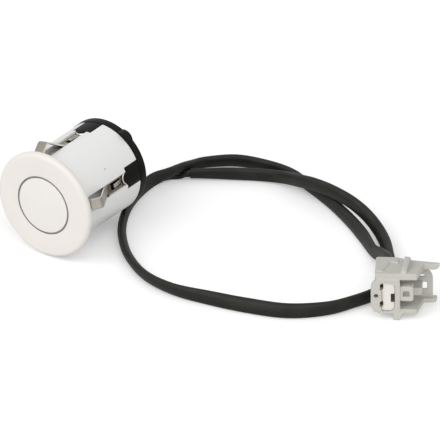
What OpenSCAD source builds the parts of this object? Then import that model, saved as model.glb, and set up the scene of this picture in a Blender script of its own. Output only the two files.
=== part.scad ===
// Bumper parking sensor with its lead and plug.
// The sensor lies on a floor with its axis level along Y and its face towards -Y.
// One spring clip and the lead carry it, as they do when it is laid down loose.

/* [Flange and sleeve] */
// Diameter of the front flange
flange_d = 28; // [26:0.5:31]
// Thickness of the flange, whose rim is a full round
flange_t = 2.3; // [1.8:0.1:2.8]
// Outer diameter of the sleeve
sleeve_d = 23.6; // [23:0.1:24.4]
// Wall of the sleeve
sleeve_wall = 1.4; // [1.1:0.1:1.7]
// From the front face to the rear edge of the sleeve
sleeve_l = 24.3; // [23.5:0.1:27]
// Thickness of the front wall around the transducer
front_wall = 3.2; // [2.9:0.1:3.6]

/* [Slots and tongues] */
// Width of the four clip slots
slot_w = 3.3; // [3.1:0.1:3.7]
// Width of the rear part of each slot, which a tongue fills
tongue_w = 5.6; // [5:0.1:6.4]
// Length of that rear part
tongue_l = 5.1; // [4.6:0.1:5.6]
// Angle of the first slot below level
slot_turn = 13.5; // [5:0.5:22]

/* [Spring clips] */
// Width of the spring strip
clip_w = 2.9; // [2.4:0.1:3]
// Thickness of the strip
clip_t = 0.4; // [0.3:0.05:0.5]
// Distance from the axis to the outside of the strip where it lies flat
clip_flat_r = 11.05; // [10.9:0.05:11.4]
// Distance from the axis to the corner of the shoulder
clip_reach = 14.7; // [13.8:0.1:15.5]
// From the front face to the shoulder
shoulder_at = 5.5; // [5:0.1:6.5]
// From the front face to the start of the ramp
ramp_at = 11.7; // [10:0.1:12]
// From the front face to the front end of the strip
clip_front = 3.3; // [3:0.1:4]
// Distance from the axis to the front end of the strip
clip_front_r = 12.9; // [12.4:0.1:13.4]
// Length of the window in the strip
window_l = 4; // [3:0.1:4.6]
// Width of the window
window_w = 1.9; // [1.2:0.1:2]
// Width of the lanced tab in the window
lance_w = 1; // [0.6:0.1:1.1]
// Diameter of the moulded stake that holds the strip
stake_d = 1.4; // [1:0.1:1.6]
// Diameter of the head of the stake
stake_head_d = 2.8; // [2.2:0.1:2.9]

/* [Transducer] */
// Diameter of the transducer cup
cup_d = 14.7; // [13.8:0.1:15]
// Length of the cup
cup_l = 9; // [8:0.1:9.6]
// Wall of the cup
cup_wall = 1.2; // [0.8:0.1:1.5]
// Thickness of the membrane at the front of the cup
membrane_t = 0.7; // [0.5:0.1:1]
// Diameter of the piezo disc
piezo_d = 7; // [5:0.5:10]
// Thickness of the piezo disc
piezo_t = 0.4; // [0.2:0.1:0.6]
// Thickness of the damping pad
pad_t = 2.4; // [1.5:0.1:3]
// Width of the soft joint round the cup
joint_w = 0.45; // [0.35:0.05:0.6]
// How far the soft joint lies below the face
joint_sunk = 0.3; // [0.1:0.05:0.6]
// Thickness of the collar of the soft joint
collar_t = 1.6; // [1:0.1:2]
// Diameter of the contact pins
pin_d = 0.6; // [0.5:0.1:0.8]
// Distance between the contact pins
pin_pitch = 5; // [4:0.5:6]

/* [Body] */
// Diameter of the rear ring
ring_d = 23.8; // [23.6:0.1:25]
// Length of the rear ring
ring_l = 2.3; // [1.5:0.1:2.6]
// Height of the key rib above the ring
key_h = 0.8; // [0.5:0.1:1.2]
// Radius of the key rib
key_r = 2.4; // [1.8:0.1:3]
// Wall of the body
body_wall = 1.3; // [1:0.1:1.5]
// Gap between parts that slide together
fit = 0.1; // [0.05:0.01:0.15]

/* [Circuit board] */
// Thickness of the board
board_t = 1.2; // [0.8:0.1:1.6]
// Diameter of the transformer core
core_d = 5.6; // [4.5:0.1:6]
// Height of the transformer core
core_h = 4.8; // [4:0.1:5.4]
// Diameter of the wire winding on the core
winding_d = 4.8; // [3.6:0.1:5.4]
// Width of the control chip
chip_w = 4.4; // [3.5:0.1:4.8]
// Length of the control chip
chip_l = 5; // [4:0.1:6]
// Thickness of the control chip
chip_t = 1.3; // [0.9:0.1:1.6]

/* [Rear seal] */
// Thickness of the sealing compound
seal_t = 6.6; // [5.6:0.1:7.2]
// How far the compound lies below the rear ring
seal_sunk = 1.2; // [0.6:0.1:1.6]
// Diameter of the cable grommet at the compound
grommet_d = 5.6; // [5.2:0.1:6.5]
// Diameter of the tip of the grommet
grommet_tip_d = 4.2; // [4:0.1:4.8]
// How far the grommet stands out of the compound
grommet_out = 4.6; // [3.5:0.1:6]
// How deep the grommet sits in the compound
grommet_in = 4; // [3:0.1:5]

/* [Lead] */
// Diameter of each wire
wire_d = 1.3; // [1:0.05:1.4]
// Distance between the two wires at the grommet
wire_pitch = 1.5; // [1.45:0.05:1.7]
// Long axis of the oval tube
tube_h = 3.8; // [3.2:0.1:4]
// Short axis of the oval tube
tube_w = 2.2; // [1.8:0.1:2.4]

/* [Plug] */
// Width of the hood at the mating face
hood_w = 7.2; // [6.8:0.1:7.6]
// Height of the hood
hood_h = 9.5; // [9:0.1:10.2]
// Depth of the hood
hood_l = 3; // [2:0.1:4]
// Radius of the corners of the hood on the side away from the lock
hood_r = 2.4; // [1.2:0.1:2.8]
// Radius of its corners on the side of the lock
hood_lock_r = 0.8; // [0.4:0.1:1.6]
// Depth of the housing from its mating face to its back
housing_l = 8; // [7.6:0.1:8.4]
// How much narrower the housing is than the hood, on the side away from the lock
hood_lip = 1.3; // [0.6:0.1:1.5]
// Height of the guide ribs above and below the housing
rib_h = 1.9; // [1.2:0.1:2.2]
// Thickness of the guide ribs
rib_t = 1.4; // [1:0.1:1.8]
// Thickness of the top plate
plate_t = 1.7; // [1.2:0.1:2]
// Thickness of the lower plate
sill_t = 1.2; // [1:0.1:1.6]
// How far the front edges of both plates reach past the hood
plate_reach = 4.4; // [4:0.1:4.8]
// How much further the plates reach at the guard bars
plate_slant = 1.6; // [1:0.1:2]
// From the mating face to the guard bars
guard_at = 5.5; // [5:0.1:5.8]
// How far the guard bars reach past the hood
guard_reach = 9.5; // [9:0.1:10.5]
// Depth of the upper guard bar
guard_t = 1.3; // [1:0.1:1.6]
// Depth of the lower guard bar
sill_bar = 2; // [1.6:0.1:2.2]
// Width of the end strip between the guard bars
strip_w = 1.4; // [1.1:0.1:1.7]
// Thickness of the end strip
strip_t = 0.8; // [0.6:0.1:1]
// Width of the lock arm
lock_w = 3.3; // [3:0.1:3.6]
// Height of the lock arm
lock_h = 4.2; // [3.6:0.1:4.6]
// Width of the white terminal holder
holder_w = 3.1; // [2.6:0.1:3.3]
// Height of the terminal holder
holder_h = 7.6; // [6.8:0.1:7.8]
// Depth of the terminal holder
holder_l = 3.6; // [3:0.1:4]
// Distance between the two terminals
terminal_pitch = 4.8; // [4.4:0.1:5]
// Diameter of the wire seals
wire_seal_d = 2.6; // [2.2:0.1:2.8]
// Length of the wire seals
wire_seal_l = 2.4; // [2:0.1:2.8]

/* [Hidden] */
$fn = 48;

SLOTS = 4;
cut = 1; // how far a cutter runs past what it cuts

// Radii and stations of the sensor, measured from its axis and from its front face
sleeve_r = sleeve_d / 2;
sleeve_in = sleeve_r - sleeve_wall;
tongue_at = sleeve_l - tongue_l;
body_r = sleeve_in - fit;
bore_r = body_r - body_wall;
ring_end = sleeve_l + ring_l;
cup_r = cup_d / 2;
cup_in = cup_r - cup_wall;
joint_r = cup_r + joint_w;
joint_back_r = joint_r + 0.4;
lip_t = 0.6;
lip_in = cup_r - 0.8;
body_at = front_wall + collar_t;
joint_end = cup_l + lip_t;
board_at = joint_end + 0.8;
board_back = board_at + board_t;
pad_at = membrane_t + piezo_t;
filling_at = pad_at + pad_t;
seal_end = ring_end - seal_sunk;
seal_at = seal_end - seal_t;
grommet_end = seal_end + grommet_out;
grommet_flange_d = grommet_d + 1.6;
grommet_flange_t = 1.4;
grommet_at = seal_end - grommet_in;

// The pieces on the board and the pins that reach it
pin_seat = 2;
core_place = [0, -4.6, board_back];
core_end_t = 0.9;
chip_off = 1.9; // from the axis to the edge of the chip
leg_out = 0.5;
leg_w = 0.4;
capacitor = [1.25, 2, 1.2];
capacitor_places = [[-5.4, -3.2], [4.2, -3.2], [-5.6, 1.6], [4.4, 1.6]];

// The strip's seat and the parts of the body that hold it
clip_seat_r = clip_flat_r - clip_t;
window_at = ramp_at + 1.8;
pad_front = ramp_at + 0.3;
stake_at = tongue_at + 0.6;
clip_rear = stake_at + stake_head_d / 2;
tongue_r = sleeve_r - fit / 2;
stake_head_t = tongue_r - clip_flat_r - 0.1;
key_turn = slot_turn + 45;

// The strip's middle line, as distance from the axis and from the front face
function lerp(a, b, t) = a + (b - a) * t;
function toward(a, b, d) = a + (b - a) * d / norm(b - a);
function bend(a, b, c, d) = [
    for (t = [0 : 0.25 : 1]) lerp(lerp(toward(b, a, d), b, t), lerp(b, toward(b, c, d), t), t)
];
clip_corners = [
    [clip_flat_r - clip_t / 2, clip_rear],
    [clip_flat_r - clip_t / 2, ramp_at],
    [clip_reach - clip_t / 2, shoulder_at],
    [clip_front_r - clip_t / 2, clip_front]
];
clip_line = concat(
    [clip_corners[0]],
    bend(clip_corners[0], clip_corners[1], clip_corners[2], 0.8),
    bend(clip_corners[1], clip_corners[2], clip_corners[3], 0.7),
    [clip_corners[3]]
);

// The sensor's axis lies as high as its lowest clip or its flange needs
shoulder_r = max([for (p = clip_line) p[0]]) + clip_t / 2;
clip_depths = [
    for (k = [0 : SLOTS - 1])
        let (off_down = 90 * k - slot_turn - 90)
        shoulder_r * cos(off_down) + clip_w / 2 * abs(sin(off_down))
];
axis_h = max(concat([flange_d / 2], clip_depths));
middle = grommet_end / 2;

// The plug stands to the right of the sensor, turned about the vertical
plug_place = [87.4, 11.9, 0];
plug_turn = 34;
hood_right = 1.1;
hood_left = hood_right - hood_w;
hood_mid = (hood_left + hood_right) / 2;
hood_low = rib_h;
hood_top = hood_low + hood_h;
hood_level = (hood_low + hood_top) / 2;
housing_left = hood_left + hood_lip;
plate_top = hood_top + plate_t;
sill_top = hood_low + sill_t;
guard_end = hood_right + guard_reach;
sill_end = guard_end - 0.3;
strip_at = guard_end - 2.8;
strip_back = guard_at + sill_bar;
strip_top = hood_top - 1.1;
window_left = strip_at - 1.1;
lock_left = hood_right + 0.3;
lock_low = hood_level - lock_h / 2 + 0.75;
lock_front = 0.3;
block_l = 2.6; // depth of the front block of the lock arm
beam_h = 2.1;
mark = [1.6, 0.5, 1.2]; // pocket in the front of the lock arm
foot_left = -0.15;
hole_d = 0.8;
pad_h = 0.4; // raised part of the top plate
holder_left = hood_right - 1.2 - holder_w;
holder_low = hood_level - holder_h / 2 + 0.1;
recess = [0.95, holder_l, 2.4];
terminal_at = hood_mid - 0.9;
terminal_level = hood_level + 0.35;
terminal_w = 1.2;
terminal_l = 4.2;
terminal_front = 1.2;

// Route of the oval tube from its open end near the sensor to the plug:
// place of its middle, and how far its long axis leans to the right of the run, in degrees
tube_route = [
    [6.5, 36.6, 1.72, 36], [8.9, 38.4, 1.72, 34], [14.5, 42.1, 1.9, 16], [21.2, 46.2, 1.92, 13],
    [27.4, 47.6, 2.7, 13], [33.7, 45.9, 4.7, 10], [38.6, 45.1, 5.8, 5], [44.1, 44.9, 5.9, 5],
    [50.6, 44.1, 5.4, -3], [56.2, 43, 4.1, -10], [61.2, 41, 2.6, -18], [65.8, 37.7, 1.9, -24],
    [70.1, 33.2, 1.85, -26], [74.2, 28.9, 1.9, -15], [77, 24.8, 1.9, -5], [78.4, 20.6, 1.9, 0],
    [77.9, 16.4, 1.9, -5], [76.1, 11, 1.9, -10], [72.7, 4.1, 1.9, 0], [65.7, -2.5, 1.88, 18],
    [56.4, -6.3, 1.86, 24], [46.7, -9.1, 1.92, 6], [37, -11, 1.88, -18], [27.4, -9.7, 1.82, -28],
    [18.5, -4.7, 1.84, -25], [11.5, 2, 1.9, -5], [7.1, 8.3, 1.9, 12], [4.2, 14.3, 1.9, 15],
    [2.5, 20.2, 2.1, 10], [2.1, 26.4, 2.8, -3], [3.7, 31.2, 3.3, 26], [4.6, 35.3, 3.25, 36],
    [5, 38.1, 2.75, 36], [6.6, 43.2, 1.92, 24], [12.2, 48.4, 1.88, 16], [19.9, 50.8, 1.88, 17],
    [27.6, 50.9, 1.9, 10], [35.3, 48.5, 1.9, 15], [43.5, 45.6, 1.9, 2], [51.5, 41.9, 1.9, -10],
    [59, 37.6, 1.9, -17], [65.6, 32.9, 2.2, 0], [70.6, 29.6, 4.3, 5], [75.2, 25.9, 6.4, 0],
    [77.4, 22.6, 6.4, 0]
];

// Routes of the two wires from the grommet to the tube
wire_routes = [
    [
        [-0.75, 15, 14.4], [-0.75, 17.2, 14.4], [-1, 20, 13.2], [-1.4, 22, 10.9], [-1.8, 23.7, 8],
        [-2.1, 25.1, 5.2], [-2.2, 26.1, 2.8], [-1.9, 27.2, 1.3], [-1, 29.4, 0.7], [0.1, 32, 0.7],
        [1.3, 34.6, 0.7], [2.9, 36.1, 0.66], [4.4, 36.5, 0.7], [5.87, 36.63, 1.15], [6.27, 36.93, 1.15]
    ],
    [
        [0.75, 15, 14.4], [0.75, 17.2, 14.4], [0.4, 20, 13.2], [0, 22, 10.9], [-0.4, 23.7, 8],
        [-0.7, 25.1, 5.2], [-0.8, 26.1, 2.8], [-0.5, 27.2, 1.3], [0.3, 28.8, 0.7], [1.3, 31.2, 0.7],
        [2.5, 33.4, 0.7], [3.9, 34.7, 0.7], [5.2, 35.1, 1.3], [6.35, 35.97, 2.29], [6.75, 36.27, 2.29]
    ]
];

// A smooth curve through a route's points
function at(p, i) = p[max(0, min(len(p) - 1, i))];
function between(p, i, t) =
    let (a = at(p, i - 1), b = at(p, i), c = at(p, i + 1), d = at(p, i + 2))
    0.5 * (2 * b + (c - a) * t + (2 * a - 5 * b + 4 * c - d) * t * t + (3 * b - a - 3 * c + d) * t * t * t);
function smooth(p, steps) = concat(
    [for (i = [0 : len(p) - 2], s = [0 : steps - 1]) between(p, i, s / steps)],
    [p[len(p) - 1]]
);
function place(p) = [p[0], p[1], p[2]];
function unit(v) = v / norm(v);
function heading(p, i) = unit(place(at(p, i + 1)) - place(at(p, i - 1)));
function run_at(route, line, i) =
    i == 0 ? heading(route, 0) : i == len(line) - 1 ? heading(route, len(route) - 1) : heading(line, i);

// One ring of an oval cord: wide to the side of the run and tall across it
function oval(c, run, wide, tall, lean, sides) =
    let (
        side = unit(cross(run, [0, 0, 1])),
        top = cross(side, run),
        long_axis = top * cos(lean) + side * sin(lean),
        short_axis = side * cos(lean) - top * sin(lean)
    )
    [
        for (k = [0 : sides - 1])
            c + short_axis * cos(360 * k / sides) * wide / 2 + long_axis * sin(360 * k / sides) * tall / 2
    ];

// A cord as one closed solid along its route
module cord(route, wide, tall, steps = 2, sides = 8) {
    line = smooth(route, steps);
    rings = len(line);
    points = [
        for (i = [0 : rings - 1])
            each oval(place(line[i]), run_at(route, line, i), wide, tall, len(line[i]) > 3 ? line[i][3] : 0, sides)
    ];
    walls = [
        for (i = [0 : rings - 2], k = [0 : sides - 1])
            let (a = i * sides + k, b = i * sides + (k + 1) % sides)
            each [[a, a + sides, b], [b, a + sides, b + sides]]
    ];
    start = [for (k = [0 : sides - 1]) k];
    end = [for (k = [sides - 1 : -1 : 0]) (rings - 1) * sides + k];
    polyhedron(points, concat(walls, [start], [end]));
}

// Lays the sensor down: its axis, built along Z from the face, becomes level along Y
module laid() {
    translate([0, -middle, axis_h]) rotate([-90, 0, 0]) children();
}

// Turns a piece about the sensor's axis to the place of a slot
module at_slot(k) {
    rotate([0, 0, -slot_turn + 90 * k]) children();
}

// A tube along the sensor's axis between two stations
module pipe(outer, inner, from, to) {
    translate([0, 0, from]) difference() {
        cylinder(h = to - from, r = outer);
        translate([0, 0, -cut]) cylinder(h = to - from + 2 * cut, r = inner);
    }
}

// A block at a slot, from one distance off the axis to another and between two stations
module slot_block(r_in, r_out, wide, from, to) {
    translate([r_in, -wide / 2, from]) cube([r_out - r_in, wide, to - from]);
}

module bezel_sleeve() {
    color("whitesmoke") laid() difference() {
        union() {
            rotate_extrude() {
                square([flange_d / 2 - flange_t / 2, flange_t]);
                translate([flange_d / 2 - flange_t / 2, flange_t / 2]) circle(flange_t / 2);
            }
            cylinder(h = front_wall, r = sleeve_r);
            pipe(sleeve_r, sleeve_in, front_wall, sleeve_l);
        }
        translate([0, 0, -cut]) cylinder(h = front_wall + 2 * cut, r = joint_r);
        for (k = [0 : SLOTS - 1]) at_slot(k) {
            slot_block(sleeve_in - fit, sleeve_r + cut, slot_w, flange_t, sleeve_l + cut);
            slot_block(sleeve_in - cut, sleeve_r + cut, tongue_w, tongue_at, sleeve_l + cut);
            slot_block(sleeve_r - cut, flange_d / 2 + cut, slot_w, flange_t - 0.4, flange_t + cut);
        }
    }
}

module decoupling_ring() {
    color("dimgray") laid() {
        pipe(joint_r, cup_r, joint_sunk, front_wall + cut / 2);
        pipe(body_r - fit, cup_r, front_wall, body_at);
        pipe(joint_back_r, cup_r, body_at - cut / 2, cup_l + lip_t / 2);
        pipe(joint_back_r, lip_in, cup_l, joint_end);
    }
}

module transducer_cup() {
    color("white") laid() {
        cylinder(h = membrane_t, r = cup_r);
        pipe(cup_r, cup_in, membrane_t / 2, cup_l);
    }
}

module piezo_disc() {
    color("tan") laid() translate([0, 0, membrane_t]) cylinder(h = piezo_t, d = piezo_d);
}

module damping_pad() {
    color("wheat") laid() translate([0, 0, pad_at]) cylinder(h = pad_t, r = cup_in - fit);
}

module cup_filling() {
    color("lightgray") laid() difference() {
        translate([0, 0, filling_at]) cylinder(h = cup_l - filling_at, r = cup_in);
        for (s = [-1, 1])
            translate([s * pin_pitch / 2, 0, cup_l - pin_seat]) cylinder(h = pin_seat + cut, d = pin_d);
    }
}
module contact_pin(side) {
    color("goldenrod") laid() translate([side * pin_pitch / 2, 0, cup_l - pin_seat])
        cylinder(h = board_back + pin_d - cup_l + pin_seat, d = pin_d);
}

module contact_pin_left() { contact_pin(-1); }

module contact_pin_right() { contact_pin(1); }

// What holds one strip: two seats, a tongue with a pocket for its end, and a stake with a round head
module clip_seat() {
    slot_block(body_r - cut, clip_seat_r, clip_w, pad_front, window_at - 0.2);
    slot_block(body_r - cut, clip_seat_r, clip_w, window_at + window_l + 0.2, clip_rear);
    difference() {
        intersection() {
            translate([0, 0, tongue_at]) cylinder(h = tongue_l + cut, r = tongue_r);
            slot_block(body_r - cut, tongue_r + cut, tongue_w - 2 * fit, tongue_at, sleeve_l + cut);
        }
        slot_block(clip_seat_r - fit, clip_flat_r + fit, clip_w + 2 * fit, tongue_at - cut, clip_rear + fit);
    }
    translate([clip_seat_r - cut / 2, 0, stake_at]) rotate([0, 90, 0]) cylinder(h = clip_t + cut / 2, d = stake_d);
    translate([clip_flat_r, 0, stake_at]) rotate([0, 90, 0]) cylinder(h = stake_head_t, d = stake_head_d);
}

module sensor_body() {
    color([0.12, 0.12, 0.11]) laid() difference() {
        union() {
            translate([0, 0, body_at]) cylinder(h = sleeve_l - body_at + cut, r = body_r);
            translate([0, 0, sleeve_l]) linear_extrude(ring_l) {
                circle(d = ring_d);
                rotate(-key_turn) translate([ring_d / 2 + key_h - key_r, 0]) circle(key_r);
            }
            for (k = [0 : SLOTS - 1]) at_slot(k) clip_seat();
        }
        translate([0, 0, body_at - cut]) cylinder(h = board_at - body_at + 2 * cut, r = joint_back_r);
        translate([0, 0, board_at]) cylinder(h = ring_end, r = bore_r);
    }
}

module circuit_board() {
    color("seagreen") laid() difference() {
        translate([0, 0, board_at]) cylinder(h = board_t, r = bore_r - fit);
        for (s = [-1, 1])
            translate([s * pin_pitch / 2, 0, board_at - cut]) cylinder(h = board_t + 2 * cut, d = pin_d);
    }
}

module transformer_core() {
    color("dimgray") laid() translate(core_place) {
        cylinder(h = core_end_t, d = core_d);
        cylinder(h = core_h, d = core_d / 2);
        translate([0, 0, core_h - core_end_t]) cylinder(h = core_end_t, d = core_d);
    }
}

module transformer_winding() {
    color("chocolate") laid() translate(core_place)
        pipe(winding_d / 2, core_d / 4, core_end_t, core_h - core_end_t);
}

module control_chip() {
    legs = 4;
    leg_pitch = chip_l / legs;
    color("black") laid() translate([-chip_l / 2, chip_off, board_back]) {
        translate([0, 0, fit]) cube([chip_l, chip_w, chip_t]);
        for (i = [0 : legs - 1]) translate([(i + 0.5) * leg_pitch - leg_w / 2, -leg_out, 0])
            cube([leg_w, chip_w + 2 * leg_out, chip_t / 2]);
    }
}

module board_capacitors() {
    color("burlywood") laid() for (p = capacitor_places) translate([p[0], p[1], board_back]) cube(capacitor);
}

module grommet_form() {
    translate([0, 0, grommet_at]) cylinder(h = grommet_flange_t, d = grommet_flange_d);
    translate([0, 0, grommet_at]) cylinder(h = seal_end - grommet_at, d = grommet_d);
    translate([0, 0, seal_end - cut / 2]) cylinder(h = cut / 2, d = grommet_d);
    translate([0, 0, seal_end]) cylinder(h = grommet_out, d1 = grommet_d, d2 = grommet_tip_d);
}

// The two wires inside the sensor, as the form that the seal and the grommet close on
module inner_wire_form(side) {
    translate([side * wire_pitch / 2, 0, board_back]) cylinder(h = grommet_end - board_back, d = wire_d);
}

module sealing_compound() {
    color("gray") laid() difference() {
        translate([0, 0, seal_at]) cylinder(h = seal_t, r = bore_r);
        grommet_form();
        for (s = [-1, 1]) inner_wire_form(s);
    }
}

module cable_grommet() {
    color([0.15, 0.15, 0.15]) laid() difference() {
        grommet_form();
        for (s = [-1, 1]) translate([0, 0, -cut]) inner_wire_form(s);
        for (s = [-1, 1]) translate([0, 0, cut]) inner_wire_form(s);
    }
}

module inner_wire_left() { color("black") laid() inner_wire_form(-1); }

module inner_wire_right() { color("black") laid() inner_wire_form(1); }

// A strip of even thickness along a line, in the plane of the line
module strip_2d(line, thick) {
    for (i = [0 : len(line) - 2]) {
        run = line[i + 1] - line[i];
        translate(line[i]) rotate(atan2(run[1], run[0])) translate([0, -thick / 2]) square([norm(run), thick]);
    }
    for (i = [1 : len(line) - 2]) translate(line[i]) circle(d = thick);
}

// Extrudes a strip drawn as distance from the axis and station, to a width across the slot
module strip(line, wide) {
    rotate([90, 0, 0]) translate([0, 0, -wide / 2]) linear_extrude(wide) strip_2d(line, clip_t);
}

module spring_clip(k) {
    mid = clip_flat_r - clip_t / 2;
    lance = [[mid, window_at + window_l + 0.2], [mid + 0.4, window_at + 0.9]];
    color("silver") laid() at_slot(k) {
        difference() {
            strip(clip_line, clip_w);
            slot_block(clip_seat_r - cut, clip_flat_r + cut, window_w, window_at, window_at + window_l);
            translate([clip_seat_r - cut, 0, stake_at]) rotate([0, 90, 0]) cylinder(h = clip_t + 2 * cut, d = stake_d);
        }
        strip(lance, lance_w);
    }
}

module spring_clip_right() { spring_clip(0); }

module spring_clip_lower() { spring_clip(1); }

module spring_clip_left() { spring_clip(2); }

module spring_clip_upper() { spring_clip(3); }

module lead_wire(i) {
    color([0.1, 0.1, 0.1]) cord(wire_routes[i], wire_d, wire_d);
}

module lead_wire_left() { lead_wire(0); }

module lead_wire_right() { lead_wire(1); }

module cable_tube() { color([0.2, 0.2, 0.18]) cord(tube_route, tube_w, tube_h, 1); }

// Places the plug: built with its mating face at -Y, its lock to +X and its lower rib on the floor
module plugged() {
    translate(plug_place) rotate([0, 0, plug_turn]) children();
}

// A rectangle with round corners, drawn from its lower left corner
module round_rect(size, r) {
    translate([r, 0]) square([size[0] - 2 * r, size[1]]);
    translate([0, r]) square([size[0], size[1] - 2 * r]);
    for (x = [r, size[0] - r], y = [r, size[1] - r]) translate([x, y]) circle(r);
}

// Extrudes an outline, drawn as seen from the mating face, between two depths
module deep(from, to) {
    translate([0, to, 0]) rotate([90, 0, 0]) linear_extrude(to - from) children();
}

// The outline of the terminal holder: straight on the terminals' side and round on the other
module holder_outline(room = 0) {
    translate([holder_left - room, holder_low - room]) {
        square([holder_w / 2, holder_h + 2 * room]);
        round_rect([holder_w + 2 * room, holder_h + 2 * room], holder_w / 2 - 0.2);
    }
}

// The outline of the hood: large corners on one side, small ones beside the lock
module hood_outline() {
    round_rect([hood_w, hood_h], hood_r);
    translate([hood_w / 2, 0]) round_rect([hood_w / 2, hood_h], hood_lock_r);
}

module plug_housing() {
    color("lightgray") plugged() difference() {
        union() {
            deep(0, hood_l) translate([hood_left, hood_low]) hood_outline();
            deep(hood_l - cut, housing_l) translate([housing_left, hood_low])
                round_rect([hood_right - housing_left, hood_h], hood_lock_r);
            plug_plates();
            plug_ribs();
            plug_lock();
        }
        deep(-cut, holder_l) holder_outline(fit / 2);
        for (s = [-1, 1]) terminal_room(s);
        translate([hood_left + 1.5, -cut, terminal_level]) rotate([-90, 0, 0]) cylinder(h = cut + 1.5, d = hole_d);
        translate([lock_left + 0.7, lock_front - cut, lock_low + 1.6]) cube(mark + [0, cut, 0]);
    }
}

// Top and lower plates: over the housing, cut back at a slant, and drawn out into guard bars
module plug_plates() {
    front = hood_right + plate_reach;
    plate = [
        [housing_left, 0.2], [front, 0.2], [front + plate_slant, guard_at], [guard_end, guard_at + 0.6],
        [guard_end, guard_at + guard_t], [hood_right + 3.2, guard_at + guard_t + 0.3],
        [hood_right + 1, housing_l - 0.4], [hood_right + 0.3, housing_l], [housing_left, housing_l]
    ];
    sill = [
        [hood_right - cut, 0.2], [front, 0.2], [front + plate_slant, guard_at], [sill_end, guard_at + 0.3],
        [sill_end, guard_at + sill_bar], [hood_right - cut, guard_at + sill_bar]
    ];
    pad = [
        [housing_left + 0.3, 1], [housing_left + 1.8, 1], [housing_left + 3.6, guard_at],
        [hood_right - 0.3, guard_at - 0.3], [hood_right - 0.3, housing_l - 0.3], [housing_left + 0.3, housing_l - 0.3]
    ];
    translate([0, 0, hood_top - fit]) linear_extrude(plate_t + fit) polygon(plate);
    translate([0, 0, hood_low]) linear_extrude(sill_t) polygon(sill);
    translate([0, 0, plate_top - fit]) linear_extrude(pad_h + fit) polygon(pad);
}

// Guide ribs: a fin on the top plate with a sloping front, and a foot below that stands on the floor
module plug_ribs() {
    fin_h = rib_h - 0.4;
    fin_l = guard_at + guard_t - 0.6;
    translate([hood_right + 0.4, 0.4, 0]) rotate([0, 0, -7.5]) rotate([90, 0, 90]) linear_extrude(rib_t)
        polygon([
            [0, plate_top - fit], [fin_l - 1.6, plate_top + fin_h - 0.2], [fin_l - 0.8, plate_top + fin_h],
            [fin_l - 0.2, plate_top + fin_h], [fin_l, plate_top - fit]
        ]);
    deep(0, guard_at + guard_t) polygon([
        [foot_left, 0], [foot_left + rib_t, 0], [foot_left + rib_t + 0.9, hood_low + fit], [foot_left, hood_low + fit]
    ]);
}

// The lock arm, free above and below: a front block on a beam that runs back to the end strip,
// which stands on the lower guard bar and leans in under the upper one
module plug_lock() {
    deep(lock_front, lock_front + block_l) translate([lock_left, lock_low]) round_rect([lock_w, lock_h], 0.7);
    deep(lock_front + block_l - fit, strip_back - strip_t + fit) translate([lock_left, lock_low + 0.3])
        square([window_left - lock_left, beam_h]);
    translate([hood_right - 0.2, 3.2, lock_low + 0.6]) cube([lock_left - hood_right + 0.6, 2, lock_h - 1.2]);
    deep(strip_back - strip_t, strip_back - 0.02) {
        translate([strip_at, sill_top - fit]) square([strip_w, strip_top - sill_top - 0.8]);
        translate([strip_at, strip_top - 2]) round_rect([strip_w, 2], 0.6);
        polygon([
            [strip_at, strip_top - 1.2], [strip_at + strip_w - 0.4, strip_top - 0.2],
            [strip_at + 0.3, hood_top + fit], [strip_at - 0.8, hood_top + fit]
        ]);
        translate([lock_left + lock_w - cut, lock_low + 1.8]) square([strip_at - lock_left - lock_w + 1.5 * cut, 1.5]);
        translate([window_left - 0.6, sill_top - fit]) square([strip_at - window_left + 1, 2.1]);
    }
}

// The space in the housing for one terminal, its mating slot, its wire and its seal
module terminal_room(s) {
    level = terminal_level + s * terminal_pitch / 2;
    translate([terminal_at - 0.3, -cut, level - 0.8]) cube([0.6, terminal_front + 2 * cut, 1.6]);
    translate([terminal_at - terminal_w / 2, terminal_front, level - terminal_w / 2])
        cube([terminal_w, housing_l - terminal_front, terminal_w]);
    translate([terminal_at, housing_l - wire_seal_l, level]) rotate([-90, 0, 0])
        cylinder(h = wire_seal_l + cut, d = wire_seal_d);
}

module terminal_holder() {
    color("white") plugged() difference() {
        deep(0.5, holder_l) holder_outline();
        translate([holder_left + holder_w - recess[0], -cut, hood_level - 1.55]) cube(recess);
        for (s = [-1, 1]) terminal_room(s);
    }
}

module terminal(s) {
    level = terminal_level + s * terminal_pitch / 2;
    wall = 0.2;
    color("darkgoldenrod") plugged() translate([terminal_at, terminal_front, level]) rotate([-90, 0, 0])
        difference() {
            translate([-terminal_w / 2, -terminal_w / 2, 0]) cube([terminal_w, terminal_w, terminal_l]);
            translate([-terminal_w / 2 + wall, -terminal_w / 2 + wall, -cut])
                cube([terminal_w - 2 * wall, terminal_w - 2 * wall, terminal_l]);
        }
}

module terminal_upper() { terminal(1); }

module terminal_lower() { terminal(-1); }

module wire_seal(s) {
    color("peru") plugged() translate([terminal_at, housing_l - wire_seal_l, terminal_level + s * terminal_pitch / 2])
        rotate([-90, 0, 0]) cylinder(h = wire_seal_l, d = wire_seal_d);
}

module wire_seal_upper() { wire_seal(1); }

module wire_seal_lower() { wire_seal(-1); }

// The end of each wire, from the tube to its seal in the plug
module wire_tail(s) {
    level = terminal_level + s * terminal_pitch / 2;
    tube_end = tube_route[len(tube_route) - 1];
    reach = tube_end - [plug_place[0], plug_place[1], 0, 0];
    across = reach[0] * cos(plug_turn) + reach[1] * sin(plug_turn);
    back = -reach[0] * sin(plug_turn) + reach[1] * cos(plug_turn);
    color([0.1, 0.1, 0.1]) plugged() cord([
        [across, back, tube_end[2] + s * 0.7], [across, back - 1, tube_end[2] + s * 0.7],
        [lerp(across, terminal_at, 0.5), lerp(back, housing_l, 0.5), lerp(tube_end[2] + s * 0.7, level, 0.5)],
        [terminal_at, housing_l + 1, level], [terminal_at, housing_l, level]
    ], wire_d, wire_d);
}

module wire_tail_upper() { wire_tail(1); }

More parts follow.
